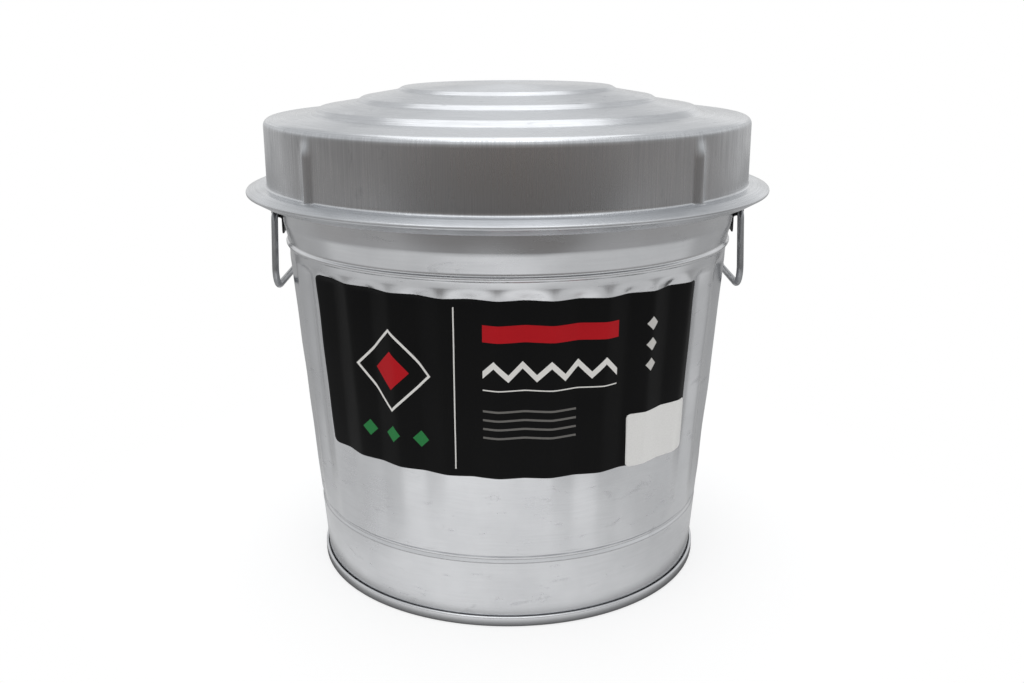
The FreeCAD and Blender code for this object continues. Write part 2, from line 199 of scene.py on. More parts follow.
def thicken(piece, thickness, offset=-1.0):
    """Gives a sheet its thickness, inwards where the offset is -1."""
    solid = piece.modifiers.new("Sheet", "SOLIDIFY")
    solid.thickness = thickness * MM
    solid.offset = offset
    solid.use_even_offset = False


def section(bm, corners, segments=6):
    """Wire in the XZ plane through (radius, height, bend radius) corners, with round bends."""
    verts = [bm.verts.new((radius, 0, z)) for radius, z, bend in corners]
    for pair in zip(verts, verts[1:]):
        bm.edges.new(pair)
    points = [vert.co.copy() for vert in verts]
    for index in range(1, len(corners) - 1):
        bend = corners[index][2]
        if bend:
            turn = (points[index] - points[index - 1]).angle(points[index + 1] - points[index])
            bmesh.ops.bevel(
                bm, geom=[verts[index]], offset=bend * math.tan(turn / 2), offset_type="OFFSET",
                segments=segments, profile=0.5, affect="VERTICES", material=-1)
    return verts[-1]


def roll(bm, vert, middle, degrees, steps):
    """Carries a section on from its last vertex in a roll."""
    bmesh.ops.spin(
        bm, geom=[vert], cent=(middle[0], 0, middle[1]), axis=(0, 1, 0), angle=math.radians(degrees),
        steps=steps)


def divide(bm, low, high, cuts):
    """Divides the section's edge that runs from one height to the other."""
    near = 0.6
    edges = [edge for edge in bm.edges
             if abs(min(vert.co.z for vert in edge.verts) - low) < near
             and abs(max(vert.co.z for vert in edge.verts) - high) < near]
    bmesh.ops.subdivide_edges(bm, edges=edges, cuts=cuts)


def extruded(bm, edges, offset):
    """Extrudes open edges by an offset and gives the vertices and edges of the new end."""
    grown = bmesh.ops.extrude_edge_only(bm, edges=edges)["geom"]
    verts = [item for item in grown if isinstance(item, bmesh.types.BMVert)]
    ends = [item for item in grown if isinstance(item, bmesh.types.BMEdge)
            and all(vert in verts for vert in item.verts)]
    bmesh.ops.translate(bm, verts=verts, vec=offset)
    return verts, ends


def closed_turn(bm, outward_at):
    """Closes a spun mesh and turns its faces outwards, away from the axis at the given height."""
    bmesh.ops.remove_doubles(bm, verts=bm.verts, dist=MERGE_DISTANCE)
    bmesh.ops.recalc_face_normals(bm, faces=bm.faces)
    probe = min(bm.faces, key=lambda face: abs(face.calc_center_median().z - outward_at))
    middle = probe.calc_center_median()
    if probe.normal.x * middle.x + probe.normal.y * middle.y < 0:
        bmesh.ops.reverse_faces(bm, faces=bm.faces)


def spun(bm, steps, outward_at):
    """Spins the section once round the can's axis."""
    bmesh.ops.spin(
        bm, geom=bm.verts[:] + bm.edges[:], cent=(0, 0, 0), axis=(0, 0, 1), angle=2 * math.pi,
        steps=steps, use_merge=True)
    closed_turn(bm, outward_at)


def wrap_uv(bm, radius, upright_from=None):
    """UV map in metres along and across the marks of the sheet's making. They run round the can, and
    upright on the steep faces that lie higher than a given height."""
    layer = bm.loops.layers.uv.new("Wrap")
    bm.normal_update()
    for face in bm.faces:
        middle = face.calc_center_median()
        facing = math.atan2(middle.x, -middle.y)
        upright = upright_from is not None and middle.z > upright_from and abs(face.normal.z) < 0.7
        for loop in face.loops:
            x, y, z = loop.vert.co
            turn = math.remainder(math.atan2(x, -y) - facing, 2 * math.pi)
            spot = ((facing + turn) * radius * MM, (z - math.hypot(x, y)) * MM)
            loop[layer].uv = spot[::-1] if upright else spot


# Wall

def smooth(value, low, high):
    share = min(max((value - low) / (high - low), 0.0), 1.0)
    return share * share * (3 - 2 * share)


def crest_radius(z):
    share = (z - FOOT_BAND) / (SHOULDER_HEIGHT - FOOT_BAND)
    return FOOT_RADIUS + share * (SHOULDER_RADIUS - FOOT_RADIUS)


def band_radius():
    """Radius of the plain band over the flutes."""
    return crest_radius(FLUTE_HEAD) - BAND_DROP


def uneven(angle, z):
    """Slight dents and swellings of the thin sheet."""
    spot = Vector((math.sin(angle), -math.cos(angle), 0)) * SHOULDER_RADIUS + Vector((0, 0, z))
    return UNEVEN_HEIGHT * noise.noise(spot / UNEVEN_WIDTH)


def wall_radius(angle, z):
    """Outer radius of the fluted wall. The flutes are creased, deepen upwards and end in a plain band."""
    share = min(max((z - FLUTE_FOOT) / (FLUTE_DEEPEST - FLUTE_FOOT), 0.0), 1.0)
    depth = FLUTE_FOOT_DEPTH + share * (FLUTE_HEAD_DEPTH - FLUTE_FOOT_DEPTH)
    wave = math.asin(FLUTE_CREASE * math.cos(FLUTES * (angle - FLUTE_TURN))) / math.asin(FLUTE_CREASE)
    valley = 0.5 + 0.5 * wave
    swell = uneven(angle, z) * smooth(z, FLUTE_FOOT, FLUTE_FOOT + UNEVEN_RUN_IN)
    fluted = crest_radius(z) - depth * valley + swell
    end = smooth(z, FLUTE_DEEPEST, FLUTE_HEAD)
    return fluted + (band_radius() - fluted) * end


def shoulder_corners(head):
    """Corners of the bead, the flare over it and the plain collar."""
    return [
        (band_radius() + BAND_EDGE_RISE, SHOULDER_HEIGHT - BEAD_HALF_WIDTH, BEAD_EDGE_BEND),
        (SHOULDER_RADIUS + BEAD_RISE, SHOULDER_HEIGHT, BEAD_BEND),
        (SHOULDER_RADIUS, SHOULDER_HEIGHT + BEAD_HALF_WIDTH, BEAD_EDGE_BEND),
        (SHOULDER_RADIUS, FLARE_FOOT, FLARE_FOOT_BEND),
        (COLLAR_RADIUS, FLARE_HEAD, FLARE_HEAD_BEND),
        (COLLAR_RADIUS, head, 0),
    ]


def wall_section(bm):
    groove_foot = GROOVE_HEIGHT - GROOVE_HALF_WIDTH
    groove_head = GROOVE_HEIGHT + GROOVE_HALF_WIDTH
    last = section(bm, [
        (FOOT_RADIUS, WALL_FOOT, 0),
        (FOOT_RADIUS, FOOT_BAND, FOOT_BEND),
        (crest_radius(groove_foot), groove_foot, GROOVE_EDGE_BEND),
        (crest_radius(GROOVE_HEIGHT) - GROOVE_DEPTH, GROOVE_HEIGHT, GROOVE_BEND),
        (crest_radius(groove_head), groove_head, GROOVE_EDGE_BEND),
        (crest_radius(FLUTE_FOOT), FLUTE_FOOT, 0),
        (crest_radius(FLUTE_DEEPEST), FLUTE_DEEPEST, 0),
        (band_radius(), FLUTE_HEAD, 0),
    ] + shoulder_corners(RIM_ROLL_MIDDLE[1]))
    roll(bm, last, RIM_ROLL_MIDDLE, degrees=305, steps=16)
    divide(bm, FLUTE_FOOT, FLUTE_DEEPEST, cuts=19)
    divide(bm, FLUTE_DEEPEST, FLUTE_HEAD, cuts=9)
    divide(bm, COLLAR_FOOT, RIM_ROLL_MIDDLE[1], cuts=12)


def make_wall(material):
    bm = bmesh.new()
    wall_section(bm)
    spun(bm, steps=FLUTES * 14, outward_at=150.0)
    for vert in bm.verts:
        x, y, z = vert.co
        angle = math.atan2(x, -y)
        if FLUTE_FOOT - 0.01 < z < FLUTE_HEAD:
            vert.co.xy *= wall_radius(angle, z) / math.hypot(x, y)
        elif GROOVE_HEIGHT < z < FLUTE_FOOT:
            flute = (crest_radius(z) - wall_radius(angle, z)) * smooth(z, GROOVE_HEIGHT, FLUTE_FOOT)
            vert.co.xy *= 1 - flute / math.hypot(x, y)
        elif UNEVEN_COLLAR_FOOT < z < COLLAR_HEAD:
            swell = uneven(angle, z) * smooth(z, UNEVEN_COLLAR_FOOT, COLLAR_FOOT)
            vert.co.xy *= 1 + swell / COLLAR_RADIUS
    wrap_uv(bm, SHOULDER_RADIUS)
    wall = finished(bm, "wall", material, "can", "galvanised_sheet", "side_wall")
    thicken(wall, SHEET)


def make_back_seam(material):
    """Lock seam in the valley at the back, pressed flat round the ring groove."""
    low = FLUTE_FOOT + 2
    valley = []
    # Close rows at the foot keep the shading of the seam's end there
    for share in (0, 0.01, 0.05, 0.25, 0.5, 0.75, 1):
        z = low + share * (FLUTE_DEEPEST - low)
        depth = FLUTE_FOOT_DEPTH + share * (FLUTE_HEAD_DEPTH - FLUTE_FOOT_DEPTH)
        valley.append((crest_radius(z) - depth, z, 0))
    width = SEAM_WIDTH / SHOULDER_RADIUS
    strips = {
        "back_seam_foot": [
            (FOOT_RADIUS, SEAM_FOOT, 0),
            (FOOT_RADIUS, FOOT_BAND, FOOT_BEND),
            (crest_radius(SEAM_FOOT_END - 1), SEAM_FOOT_END - 1, 0),
            (crest_radius(SEAM_FOOT_END), SEAM_FOOT_END, 0),
        ],
        "back_seam": valley + [(band_radius(), FLUTE_HEAD - 1, 3)] + shoulder_corners(SEAM_HEAD),
    }
    for name, corners in strips.items():
        bm = bmesh.new()
        section(bm, corners)
        start = Matrix.Rotation(math.pi / 2 + FLUTE_TURN - width / 2, 3, "Z")
        bmesh.ops.rotate(bm, verts=bm.verts, cent=(0, 0, 0), matrix=start)
        bmesh.ops.spin(
            bm, geom=bm.verts[:] + bm.edges[:], cent=(0, 0, 0), axis=(0, 0, 1), angle=width, steps=4)
        closed_turn(bm, outward_at=150.0)
        wrap_uv(bm, SHOULDER_RADIUS)
        seam = finished(bm, name, material, "can", "galvanised_sheet")
        thicken(seam, SEAM_RISE, 1.0)


def make_bottom(material):
    """Bottom with its fold round the foot of the wall."""
    bm = bmesh.new()
    section(bm, [
        (0, BOTTOM_HEIGHT, 0),
        (BOTTOM_RADIUS, BOTTOM_HEIGHT, BOTTOM_BEND),
        (BOTTOM_RADIUS, 0, CHIME_FOOT_BEND),
        (CHIME_RADIUS, 0, CHIME_BEND),
        (CHIME_RADIUS, CHIME_HEIGHT, CHIME_BEND),
        (CHIME_LIP_RADIUS, CHIME_HEIGHT, CHIME_LIP_BEND),
        (CHIME_LIP_RADIUS - 0.3, CHIME_HEIGHT - 2.6, 0),
    ], segments=5)
    spun(bm, steps=240, outward_at=3.0)
    wrap_uv(bm, FOOT_RADIUS)
    bottom = finished(bm, "bottom", material, "can", "galvanised_sheet", "bottom_pan")
    thicken(bottom, BOTTOM_SHEET)


# Lid

def rib_lift(angle, z):
    """How far a rib stands out of the skirt. It runs out in a ramp at its head."""
    nearest = math.remainder(angle - math.pi / 4 - LID_TURN, math.pi / 2)
    across = abs(nearest) * SKIRT_RADIUS / (RIB_WIDTH / 2)
    crest = math.sqrt(across * across + RIB_ROUNDING) - math.sqrt(RIB_ROUNDING)
    return RIB_HEIGHT * max(0.0, 1.0 - crest) * smooth(RIB_HEAD - z, 0.0, RIB_RAMP)


def make_lid(material):
    bm = bmesh.new()
    section(bm, LID_TOP + [
        (SKIRT_RADIUS, LID_EDGE_HEIGHT, LID_EDGE_BEND),
        (SKIRT_RADIUS, FLANGE_TOP, COVE_BEND),
        (SKIRT_RADIUS + FLANGE_FLAT, FLANGE_TOP, FLANGE_BEND),
        (FLANGE_EDGE, FLANGE_EDGE_TOP, FLANGE_EDGE_BEND),
        (FLANGE_EDGE, FLANGE_EDGE_TOP - FLANGE_EDGE_HEIGHT, FLANGE_EDGE_BEND),
        (HEM_RADIUS, HEM_FOOT, HEM_BEND),
        (HEM_RADIUS - HEM_CURL_WIDTH, HEM_FOOT + HEM_CURL_HEIGHT, 0),
    ])
    divide(bm, FLANGE_TOP + COVE_BEND, LID_EDGE_HEIGHT - LID_EDGE_BEND, cuts=26)
    start = LID_TURN - RIB_HALF_ANGLE - 3 * math.pi / 4
    bmesh.ops.rotate(bm, verts=bm.verts, cent=(0, 0, 0), matrix=Matrix.Rotation(start, 3, "Z"))
    front = bm.verts[:] + bm.edges[:]
    for quarter in range(4):
        for angle, steps in ((2 * RIB_HALF_ANGLE, 16), (math.pi / 2 - 2 * RIB_HALF_ANGLE, 62)):
            turn = bmesh.ops.spin(
                bm, geom=front, cent=(0, 0, 0), axis=(0, 0, 1), angle=angle, steps=steps)
            front = turn["geom_last"]
    closed_turn(bm, outward_at=300.0)
    for vert in bm.verts:
        x, y, z = vert.co
        radius = math.hypot(x, y)
        if z > FLANGE_TOP - 0.1 and SKIRT_RADIUS - 0.1 < radius < SKIRT_RADIUS + 1.2:
            lift = rib_lift(math.atan2(x, -y), z)
            vert.co.xy *= max(radius, SKIRT_RADIUS + lift) / radius
    wrap_uv(bm, SKIRT_RADIUS, FLANGE_TOP)
    lid = finished(bm, "lid_shell", material, "lid", "lid_sheet", "lid")
    thicken(lid, SHEET)


# Ears, rivets and handles: made on +X, turned half round for the left

def side_turn(side):
    return Matrix.Rotation(0.0 if side == "right" else math.pi, 3, "Z")


def make_ear(side, material):
    bm = bmesh.new()
    reach = PIVOT_RADIUS + WIRE_RADIUS + WIRE_PLAY + EAR_SHEET
    section(bm, [
        (EAR_FACE, EAR_FOOT, 0),
        (EAR_FACE, PIVOT_HEIGHT - CHANNEL_MOUTH_HALF, CHANNEL_MOUTH_BEND),
        (reach, PIVOT_HEIGHT - CHANNEL_BACK_HALF, CHANNEL_BACK_BEND),
        (reach, PIVOT_HEIGHT + CHANNEL_BACK_HALF, CHANNEL_BACK_BEND),
        (EAR_FACE, PIVOT_HEIGHT + CHANNEL_MOUTH_HALF, CHANNEL_MOUTH_BEND),
        (EAR_FACE, EAR_HEAD, 0),
    ])
    bmesh.ops.translate(bm, verts=bm.verts, vec=(0, -EAR_LENGTH / 2, 0))
    edges = bm.edges[:]
    steps = 8
    for step in range(steps):
        edges = extruded(bm, edges, (0, EAR_LENGTH / steps, 0))[1]
    corners = [vert for vert in bm.verts if len(vert.link_edges) == 2]
    bmesh.ops.bevel(
        bm, geom=corners, offset=EAR_CORNER, offset_type="OFFSET", segments=5, profile=0.5,
        affect="VERTICES", material=-1)
    for vert in bm.verts:
        x, y, z = vert.co
        on_plate = min(max(1 - (x - EAR_FACE) / 2, 0.0), 1.0)
        vert.co.x -= on_plate * (EAR_FACE - math.sqrt(EAR_FACE ** 2 - y * y))
    closed_turn(bm, PIVOT_HEIGHT)
    bmesh.ops.rotate(bm, verts=bm.verts, cent=(0, 0, 0), matrix=side_turn(side))
    ear = finished(bm, side + "_ear_pressing", material, "can", "dark_ear", side + "_ear")
    thicken(ear, EAR_SHEET)
    edge = ear.modifiers.new("Worn edge", "BEVEL")
    edge.width = 0.25 * MM
    edge.segments = 2
    edge.limit_method = "ANGLE"
    edge.angle_limit = math.radians(50)


def make_rivets(side, material):
    bm = bmesh.new()
    inner = COLLAR_RADIUS - SHEET - RIVET_GAP
    outer = EAR_FACE + RIVET_GAP
    for y in (-RIVET_SIDE, RIVET_SIDE):
        rivet = bmesh.new()
        section(rivet, [
            (0, outer + RIVET_DOME, 0),
            (1.4, outer + RIVET_DOME - 0.15, 1.5),
            (RIVET_HEAD, outer + 0.35, 0.6),
            (RIVET_HEAD, outer, 0.1),
            (RIVET_SHANK, outer, 0),
            (RIVET_SHANK, inner, 0),
            (RIVET_HEAD, inner, 0.1),
            (RIVET_HEAD, inner - RIVET_BACK, 0.3),
            (0, inner - RIVET_BACK, 0),
        ], segments=4)
        spun(rivet, steps=24, outward_at=(inner + outer) / 2)
        lay = Matrix.Rotation(math.asin(y / COLLAR_RADIUS), 4, "Z") @ Matrix.Rotation(math.pi / 2, 4, "Y")
        place = Matrix.Translation((0, 0, PIVOT_HEIGHT + RIVET_RISE)) @ lay
        bmesh.ops.transform(rivet, matrix=side_turn(side).to_4x4() @ place, verts=rivet.verts)
        mesh = bpy.data.meshes.new("rivet")
        rivet.to_mesh(mesh)
        rivet.free()
        bm.from_mesh(mesh)
        bpy.data.meshes.remove(mesh)
    finished(bm, side + "_rivets", material, "can", "rivet_steel", side + "_ear_rivets")


def make_handle(side, material):
    """Round wire carried along straight runs and round its bends."""
    corners = [Vector(point) for point in (
        (0, HANDLE_HALF_GAP, 0),
        (0, HANDLE_HEAD_HALF, 0),
        (0, HANDLE_FOOT_HALF, -HANDLE_DROP),
        (0, -HANDLE_FOOT_HALF, -HANDLE_DROP),
        (0, -HANDLE_HEAD_HALF, 0),
        (0, -HANDLE_HALF_GAP, 0),
    )]
    bends = [0, HANDLE_HEAD_BEND, HANDLE_FOOT_BEND, HANDLE_FOOT_BEND, HANDLE_HEAD_BEND, 0]
    bm = bmesh.new()
    bmesh.ops.create_circle(
        bm, cap_ends=False, segments=24, radius=WIRE_RADIUS, matrix=Matrix.Rotation(math.pi / 2, 4, "X"))
    bmesh.ops.translate(bm, verts=bm.verts, vec=corners[0])
    edges = bm.edges[:]
    spent = 0.0
    for index in range(len(corners) - 1):
        run = corners[index + 1] - corners[index]
        onward = corners[index + 2] - corners[index + 1] if index + 2 < len(corners) else run
        turn = run.angle(onward)
        reach = bends[index + 1] * math.tan(turn / 2)
        heading = run.normalized()
        verts, edges = extruded(bm, edges, heading * (run.length - spent - reach))
        spent = reach
        if reach:
            axis = run.cross(onward).normalized()
            middle = corners[index + 1] - heading * reach + axis.cross(heading) * bends[index + 1]
            bent = bmesh.ops.spin(
                bm, geom=verts + edges, cent=middle, axis=axis, angle=turn, steps=10)
            verts = [item for item in bent["geom_last"] if isinstance(item, bmesh.types.BMVert)]
            edges = [item for item in bent["geom_last"] if isinstance(item, bmesh.types.BMEdge)]
    bmesh.ops.remove_doubles(bm, verts=bm.verts, dist=MERGE_DISTANCE)
    bmesh.ops.holes_fill(bm, edges=bm.edges, sides=0)
    bmesh.ops.recalc_face_normals(bm, faces=bm.faces)
    bmesh.ops.translate(bm, verts=bm.verts, vec=(PIVOT_RADIUS, 0, PIVOT_HEIGHT))
    bmesh.ops.rotate(bm, verts=bm.verts, cent=(0, 0, 0), matrix=side_turn(side))
    finished(bm, side + "_drop_handle", material, side + "_handle", "plain_wire", side + "_handle")


# Paper on the flutes

def make_paper(name, material, left, right, flare, foot, height, corner, lift, columns, rows, slot, node):
    """Sheet of paper that follows the flutes, with round corners. It is cut straight, so on the tapered
    wall its ends rise. Its UV map is in millimetres."""
    bm = bmesh.new()
    layer = bm.loops.layers.uv.new("Print")
    bmesh.ops.create_grid(bm, x_segments=columns, y_segments=rows, size=1.0)
    spots = {}
    for vert in bm.verts:
        across, up = vert.co.x, vert.co.y
        up = 0.5 * up + 0.5 * math.sin(math.pi / 2 * up)
        v = (up + 1) / 2 * height
        inset = corner - min(v, height - v)
        inset = corner - math.sqrt(corner * corner - inset * inset) if inset > 0 else 0.0
        z = foot + v
        radius = crest_radius(z)
        first = math.asin((left - flare * v / height) / radius) + inset / radius
        last = math.asin((right + flare * v / height) / radius) - inset / radius
        angle = first + (across + 1) / 2 * (last - first)
        z -= radius * math.sin(angle) * math.sin(LABEL_TILT)
        z -= LABEL_SAG - LABEL_END_RISE * (angle / LABEL_HALF_ANGLE) ** 2
        spots[vert] = (angle * radius, v)
        radius = wall_radius(angle, z) + lift
        vert.co = (radius * math.sin(angle), -radius * math.cos(angle), z)
    for face in bm.faces:
        for loop in face.loops:
            loop[layer].uv = spots[loop.vert]
    closed_turn(bm, foot + height / 2)
    paper = finished(bm, name, material, "can", slot, node)
    thicken(paper, PAPER, 1.0)


# Materials

def srgb(code):
    """Linear colour of an sRGB hex code."""
    values = [int(code[place:place + 2], 16) / 255 for place in (0, 2, 4)]
    return [v / 12.92 if v <= 0.04045 else ((v + 0.055) / 1.055) ** 2.4 for v in values] + [1.0]


def add(tree, kind, inputs=None, **settings):
    """Adds a node with its settings. An input is given a value, or an output to link from."""
    made = tree.nodes.new(kind)
    for key, value in settings.items():
        setattr(made, key, value)
    for key, value in (inputs or {}).items():
        if isinstance(value, bpy.types.NodeSocket):
            tree.links.new(value, made.inputs[key])
        else:
            made.inputs[key].default_value = value
    return made


def new_material(name):
    material = bpy.data.materials.new(name)
    material.use_nodes = True
    tree = material.node_tree
    return material, tree, tree.nodes["Principled BSDF"]


def galvanised_sheet(
        name, light, dark, marks_along, marks_across, marks_tone, marks_depth, roughness, combed):
    """Rolled steel sheet with a zinc coat: a soft satin mirror with fine rolling marks in one direction,
    cloudy patches where the coat is duller, and a few grey smudges from handling."""
    material, tree, shader = new_material(name)
    wrap = add(tree, "ShaderNodeUVMap", uv_map="Wrap")
    # Rolling marks are about 0.1 mm wide and are drawn coarser, so that they show
    marks_place = add(tree, "ShaderNodeMapping", {
        "Vector": wrap.outputs[0], "Scale": (1 / (marks_along * MM), 1 / (marks_across * MM), 1.0)})
    marks = add(tree, "ShaderNodeTexNoise", {
        "Vector": marks_place.outputs[0], "Scale": 1.0, "Detail": 3.0, "Roughness": 0.6})
    # Clouds in the zinc are about 60 mm wide
    spot = add(tree, "ShaderNodeTexCoord")
    clouds = add(tree, "ShaderNodeTexNoise", {
        "Vector": spot.outputs["Object"], "Scale": 1 / (60 * MM), "Detail": 4.0, "Roughness": 0.55})
    # Smudges lie along the marks, about 30 by 9 mm from one to the next
    smudge_place = add(tree, "ShaderNodeMapping", {
        "Vector": wrap.outputs[0], "Scale": (1 / (30 * MM), 1 / (9 * MM), 1.0)})
    smudges = add(tree, "ShaderNodeTexNoise", {
        "Vector": smudge_place.outputs[0], "Scale": 1.0, "Detail": 5.0, "Roughness": 0.7,
        "Distortion": 0.6})
    smudged = add(tree, "ShaderNodeMapRange", {
        "Value": smudges.outputs[0], "From Min": 0.6, "From Max": 0.74, "To Min": 0.0, "To Max": 0.5})
    tone = add(tree, "ShaderNodeMapRange", {
        "Value": clouds.outputs[0], "From Min": 0.3, "From Max": 0.7, "To Min": 0.0, "To Max": 0.35})
    streak = add(tree, "ShaderNodeMapRange", {
        "Value": marks.outputs[0], "From Min": 0.25, "From Max": 0.75, "To Min": 0.0,
        "To Max": marks_tone})
    grey = add(tree, "ShaderNodeMath", {0: tone.outputs[0], 1: streak.outputs[0]}, operation="ADD")
    grey = add(tree, "ShaderNodeMath", {
        0: grey.outputs[0], 1: smudged.outputs[0]}, operation="ADD", use_clamp=True)
    colour = add(tree, "ShaderNodeMix", {
        "Factor": grey.outputs[0], "A": srgb(light), "B": srgb(dark)}, data_type="RGBA")
    tree.links.new(colour.outputs["Result"], shader.inputs["Base Color"])
    dull = add(tree, "ShaderNodeMapRange", {
        "Value": grey.outputs[0], "To Min": roughness - 0.05, "To Max": roughness + 0.14})
    tree.links.new(dull.outputs[0], shader.inputs["Roughness"])
    bump = add(tree, "ShaderNodeBump", {
        "Strength": 0.2, "Distance": marks_depth * MM, "Height": marks.outputs[0]})
    tree.links.new(bump.outputs[0], shader.inputs["Normal"])
    tangent = add(tree, "ShaderNodeTangent", direction_type="UV_MAP", uv_map="Wrap")
    tree.links.new(tangent.outputs[0], shader.inputs["Tangent"])
    # Light spreads across the marks where the sheet is combed by them
    shader.inputs["Anisotropic"].default_value = combed
    shader.inputs["Anisotropic Rotation"].default_value = 0.25
    shader.inputs["Metallic"].default_value = 1.0
    return material


def galvanised_wire(name):
    """Drawn steel wire with a zinc coat: mid grey, satin, with fine lengthwise drawing marks."""
    material, tree, shader = new_material(name)
    spot = add(tree, "ShaderNodeTexCoord")
    place = add(tree, "ShaderNodeMapping", {
        "Vector": spot.outputs["Object"], "Scale": (1 / (1.2 * MM), 1 / (1.2 * MM), 1 / (9 * MM))})
    marks = add(tree, "ShaderNodeTexNoise", {"Vector": place.outputs[0], "Scale": 1.0, "Detail": 3.0})
    colour = add(tree, "ShaderNodeMix", {
        "Factor": marks.outputs[0], "A": srgb("B0B2B4"), "B": srgb("888A8D")}, data_type="RGBA")
    tree.links.new(colour.outputs["Result"], shader.inputs["Base Color"])
    dull = add(tree, "ShaderNodeMapRange", {"Value": marks.outputs[0], "To Min": 0.24, "To Max": 0.42})
    tree.links.new(dull.outputs[0], shader.inputs["Roughness"])
    shader.inputs["Metallic"].default_value = 1.0
    return material


def painted_shade_black_steel(name):
    """Pressed steel coloured near black: painted shade, standing for the deep shade under the lid's
    flange. Half matt, slightly uneven.
    """
    material, tree, shader = new_material(name)
    spot = add(tree, "ShaderNodeTexCoord")
    grain = add(tree, "ShaderNodeTexNoise", {
        "Vector": spot.outputs["Object"], "Scale": 1 / (1.5 * MM), "Detail": 3.0})
    colour = add(tree, "ShaderNodeMix", {
        "Factor": grain.outputs[0], "A": srgb("141415"), "B": srgb("222224")}, data_type="RGBA")
    tree.links.new(colour.outputs["Result"], shader.inputs["Base Color"])
    bump = add(tree, "ShaderNodeBump", {
        "Strength": 0.2, "Distance": 0.05 * MM, "Height": grain.outputs[0]})
    tree.links.new(bump.outputs[0], shader.inputs["Normal"])
    shader.inputs["Roughness"].default_value = 0.45
    return material


def printed_label(name):
    """Coated paper printed black with a plain design of bars, chevrons and diamonds: smooth and half
    gloss."""
    material, tree, shader = new_material(name)
    uv = add(tree, "ShaderNodeUVMap", uv_map="Print")
    fibre = add(tree, "ShaderNodeTexNoise", {"Vector": uv.outputs[0], "Scale": 1.6, "Detail": 3.0})
    ground = add(tree, "ShaderNodeMix", {
        "Factor": fibre.outputs[0], "A": srgb("060606"), "B": srgb("0E0E0F")}, data_type="RGBA")
    colour = ground.outputs["Result"]
    axes = {}
    for turn in (0.0, math.pi / 4):
        turned = add(tree, "ShaderNodeMapping", {"Vector": uv.outputs[0], "Rotation": (0, 0, turn)})
        axes[turn] = add(tree, "ShaderNodeSeparateXYZ", {0: turned.outputs[0]}).outputs
    # Straight bars, and squares that stand on a corner: turn, middle across and up from the label's foot,
    # half width and half height, ink
    shapes = [
        (0.0, 28.0, 97.0, 44.0, 5.5, "B5161F"),
        (0.0, 28.0, 60.0, 44.0, 0.4, "E4E2DE"),
        (0.0, -34.0, 59.0, 0.4, 54.0, "E4E2DE"),
        (math.pi / 4, -78.0, 66.0, 20.0, 20.0, "E4E2DE"),
        (math.pi / 4, -78.0, 66.0, 18.4, 18.4, "0A0A0A"),
        (math.pi / 4, -78.0, 66.0, 9.2, 9.2, "B5161F"),
    ]
    shapes += [(math.pi / 4, across, 22.0, 4.0, 4.0, "2E7D45") for across in (-98.0, -78.0, -58.0)]
    shapes += [(math.pi / 4, 98.0, up, 3.2, 3.2, "C9C7C3") for up in (97.0, 83.0, 69.0)]
    shapes += [(0.0, 14.0, up, 30.0, 0.7, "6E6C69") for up in (46.0, 40.0, 34.0, 28.0)]
    for turn, across, up, half_width, half_height, ink in shapes:
        middle = Matrix.Rotation(turn, 2) @ Vector((across, up))
        inside_u = add(tree, "ShaderNodeMath", {
            0: axes[turn][0], 1: middle.x, 2: half_width}, operation="COMPARE")
        inside_v = add(tree, "ShaderNodeMath", {
            0: axes[turn][1], 1: middle.y, 2: half_height}, operation="COMPARE")
        inside = add(tree, "ShaderNodeMath", {
            0: inside_u.outputs[0], 1: inside_v.outputs[0]}, operation="MULTIPLY")
        inked = add(tree, "ShaderNodeMix", {
            "Factor": inside.outputs[0], "A": colour, "B": srgb(ink)}, data_type="RGBA")
        colour = inked.outputs["Result"]
    # White chevrons under the red bar, 18 mm apart
    flat = axes[0.0]
    zigzag = add(tree, "ShaderNodeMath", {0: flat[0], 1: 9.0}, operation="PINGPONG")
    level = add(tree, "ShaderNodeMath", {0: flat[1], 1: zigzag.outputs[0]}, operation="SUBTRACT")
    stroke = add(tree, "ShaderNodeMath", {0: level.outputs[0], 1: 68.0, 2: 2.4}, operation="COMPARE")
    reach = add(tree, "ShaderNodeMath", {0: flat[0], 1: 28.0, 2: 44.0}, operation="COMPARE")
    chevrons = add(tree, "ShaderNodeMath", {
        0: stroke.outputs[0], 1: reach.outputs[0]}, operation="MULTIPLY")
    inked = add(tree, "ShaderNodeMix", {
        "Factor": chevrons.outputs[0], "A": colour, "B": srgb("E4E2DE")}, data_type="RGBA")
    tree.links.new(inked.outputs["Result"], shader.inputs["Base Color"])
    dull = add(tree, "ShaderNodeMapRange", {"Value": fibre.outputs[0], "To Min": 0.45, "To Max": 0.6})
    tree.links.new(dull.outputs[0], shader.inputs["Roughness"])
    shader.inputs["IOR"].default_value = 1.48
    shader.inputs["Specular IOR Level"].default_value = 0.1
    return material


def white_paper(name):
    """Coated white paper, bare, with a faint fibre."""
    material, tree, shader = new_material(name)
    uv = add(tree, "ShaderNodeUVMap", uv_map="Print")
    fibre = add(tree, "ShaderNodeTexNoise", {"Vector": uv.outputs[0], "Scale": 0.9, "Detail": 5.0})
    colour = add(tree, "ShaderNodeMix", {
        "Factor": fibre.outputs[0], "A": srgb("F1F0EE"), "B": srgb("DDDCD9")}, data_type="RGBA")
    tree.links.new(colour.outputs["Result"], shader.inputs["Base Color"])
    shader.inputs["Roughness"].default_value = 0.5
    shader.inputs["IOR"].default_value = 1.48
    return material


# The can

